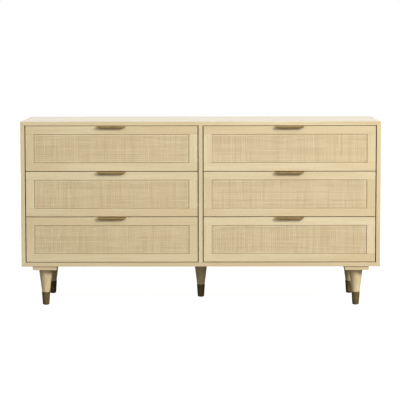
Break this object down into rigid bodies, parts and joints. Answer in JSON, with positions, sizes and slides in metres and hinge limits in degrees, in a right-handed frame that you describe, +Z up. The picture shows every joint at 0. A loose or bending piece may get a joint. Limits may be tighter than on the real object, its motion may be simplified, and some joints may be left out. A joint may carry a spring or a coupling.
{
  "type": "six-drawer dresser",
  "caption": "Low wide dresser in pale oak with woven cane drawer fronts, bent brass edge pulls and tapered legs with metal ferrules; every drawer runs on full-extension slides.",
  "frame": {"origin": "on the floor, under the middle of the whole object's box, pulls included", "axes": "+X to the right as one faces the drawers, +Y towards the back, +Z up; the drawers open along -Y"},
  "size_m": [1.5, 0.411, 0.778],
  "materials": {
    "oak": "pale oak veneer, fine straight grain, matt clear lacquer",
    "leg_oak": "turned solid oak, satin lacquer",
    "cane": "natural woven cane webbing, dry and slightly glossy on the skin side",
    "insert_board": "plain board behind the cane, matt",
    "drawer_wood": "light sanded drawer board, matt",
    "back_board": "thin veneered back board, matt",
    "antique_brass": "brushed antique brass",
    "bronze": "dark aged bronze",
    "zinc_steel": "zinc-plated steel",
    "black_steel": "black electro-coated steel",
    "glide_plastic": "black nylon"
  },
  "bodies": {
    "carcass": {"top_panel": "oak", "bottom_panel": "oak", "left_side_panel": "oak", "right_side_panel": "oak", "centre_divider": "oak", "back_board_left": "back_board", "back_board_right": "back_board", "back_screws": "zinc_steel", "front_left_leg": "leg_oak", "front_right_leg": "leg_oak", "rear_left_leg": "leg_oak", "rear_right_leg": "leg_oak", "centre_leg": "leg_oak", "leg_blocks": "oak", "leg_bolts": "zinc_steel", "leg_ferrules": "bronze", "leg_glides": "glide_plastic", "cabinet_rails": "black_steel"},
    "left_top_drawer": {"left_top_front_frame": "oak", "left_top_insert_board": "insert_board", "left_top_cane_panel": "cane", "left_top_box": "drawer_wood", "left_top_pull": "antique_brass", "left_top_runners": "black_steel"},
    "left_top_slide": {"left_top_slide_middles": "black_steel"},
    "left_middle_drawer": {"left_middle_front_frame": "oak", "left_middle_insert_board": "insert_board", "left_middle_cane_panel": "cane", "left_middle_box": "drawer_wood", "left_middle_pull": "antique_brass", "left_middle_runners": "black_steel"},
    "left_middle_slide": {"left_middle_slide_middles": "black_steel"},
    "left_bottom_drawer": {"left_bottom_front_frame": "oak", "left_bottom_insert_board": "insert_board", "left_bottom_cane_panel": "cane", "left_bottom_box": "drawer_wood", "left_bottom_pull": "antique_brass", "left_bottom_runners": "black_steel"},
    "left_bottom_slide": {"left_bottom_slide_middles": "black_steel"},
    "right_top_drawer": {"right_top_front_frame": "oak", "right_top_insert_board": "insert_board", "right_top_cane_panel": "cane", "right_top_box": "drawer_wood", "right_top_pull": "antique_brass", "right_top_runners": "black_steel"},
    "right_top_slide": {"right_top_slide_middles": "black_steel"},
    "right_middle_drawer": {"right_middle_front_frame": "oak", "right_middle_insert_board": "insert_board", "right_middle_cane_panel": "cane", "right_middle_box": "drawer_wood", "right_middle_pull": "antique_brass", "right_middle_runners": "black_steel"},
    "right_middle_slide": {"right_middle_slide_middles": "black_steel"},
    "right_bottom_drawer": {"right_bottom_front_frame": "oak", "right_bottom_insert_board": "insert_board", "right_bottom_cane_panel": "cane", "right_bottom_box": "drawer_wood", "right_bottom_pull": "antique_brass", "right_bottom_runners": "black_steel"},
    "right_bottom_slide": {"right_bottom_slide_middles": "black_steel"}
  },
  "joints": [
    {"name": "left_top_drawer_slide", "type": "slide", "parent": "carcass", "child": "left_top_drawer", "axis": [0, -1, 0], "range_m": [0, 0.35]},
    {"name": "left_top_member_slide", "type": "slide", "parent": "carcass", "child": "left_top_slide", "axis": [0, -1, 0], "range_m": [0, 0.175]},
    {"name": "left_middle_drawer_slide", "type": "slide", "parent": "carcass", "child": "left_middle_drawer", "axis": [0, -1, 0], "range_m": [0, 0.35]},
    {"name": "left_middle_member_slide", "type": "slide", "parent": "carcass", "child": "left_middle_slide", "axis": [0, -1, 0], "range_m": [0, 0.175]},
    {"name": "left_bottom_drawer_slide", "type": "slide", "parent": "carcass", "child": "left_bottom_drawer", "axis": [0, -1, 0], "range_m": [0, 0.35]},
    {"name": "left_bottom_member_slide", "type": "slide", "parent": "carcass", "child": "left_bottom_slide", "axis": [0, -1, 0], "range_m": [0, 0.175]},
    {"name": "right_top_drawer_slide", "type": "slide", "parent": "carcass", "child": "right_top_drawer", "axis": [0, -1, 0], "range_m": [0, 0.35]},
    {"name": "right_top_member_slide", "type": "slide", "parent": "carcass", "child": "right_top_slide", "axis": [0, -1, 0], "range_m": [0, 0.175]},
    {"name": "right_middle_drawer_slide", "type": "slide", "parent": "carcass", "child": "right_middle_drawer", "axis": [0, -1, 0], "range_m": [0, 0.35]},
    {"name": "right_middle_member_slide", "type": "slide", "parent": "carcass", "child": "right_middle_slide", "axis": [0, -1, 0], "range_m": [0, 0.175]},
    {"name": "right_bottom_drawer_slide", "type": "slide", "parent": "carcass", "child": "right_bottom_drawer", "axis": [0, -1, 0], "range_m": [0, 0.35]},
    {"name": "right_bottom_member_slide", "type": "slide", "parent": "carcass", "child": "right_bottom_slide", "axis": [0, -1, 0], "range_m": [0, 0.175]}
  ],
  "couplings": [
    {"joint": "left_top_member_slide", "follows": "left_top_drawer_slide", "ratio": 0.5},
    {"joint": "left_middle_member_slide", "follows": "left_middle_drawer_slide", "ratio": 0.5},
    {"joint": "left_bottom_member_slide", "follows": "left_bottom_drawer_slide", "ratio": 0.5},
    {"joint": "right_top_member_slide", "follows": "right_top_drawer_slide", "ratio": 0.5},
    {"joint": "right_middle_member_slide", "follows": "right_middle_drawer_slide", "ratio": 0.5},
    {"joint": "right_bottom_member_slide", "follows": "right_bottom_drawer_slide", "ratio": 0.5}
  ]
}
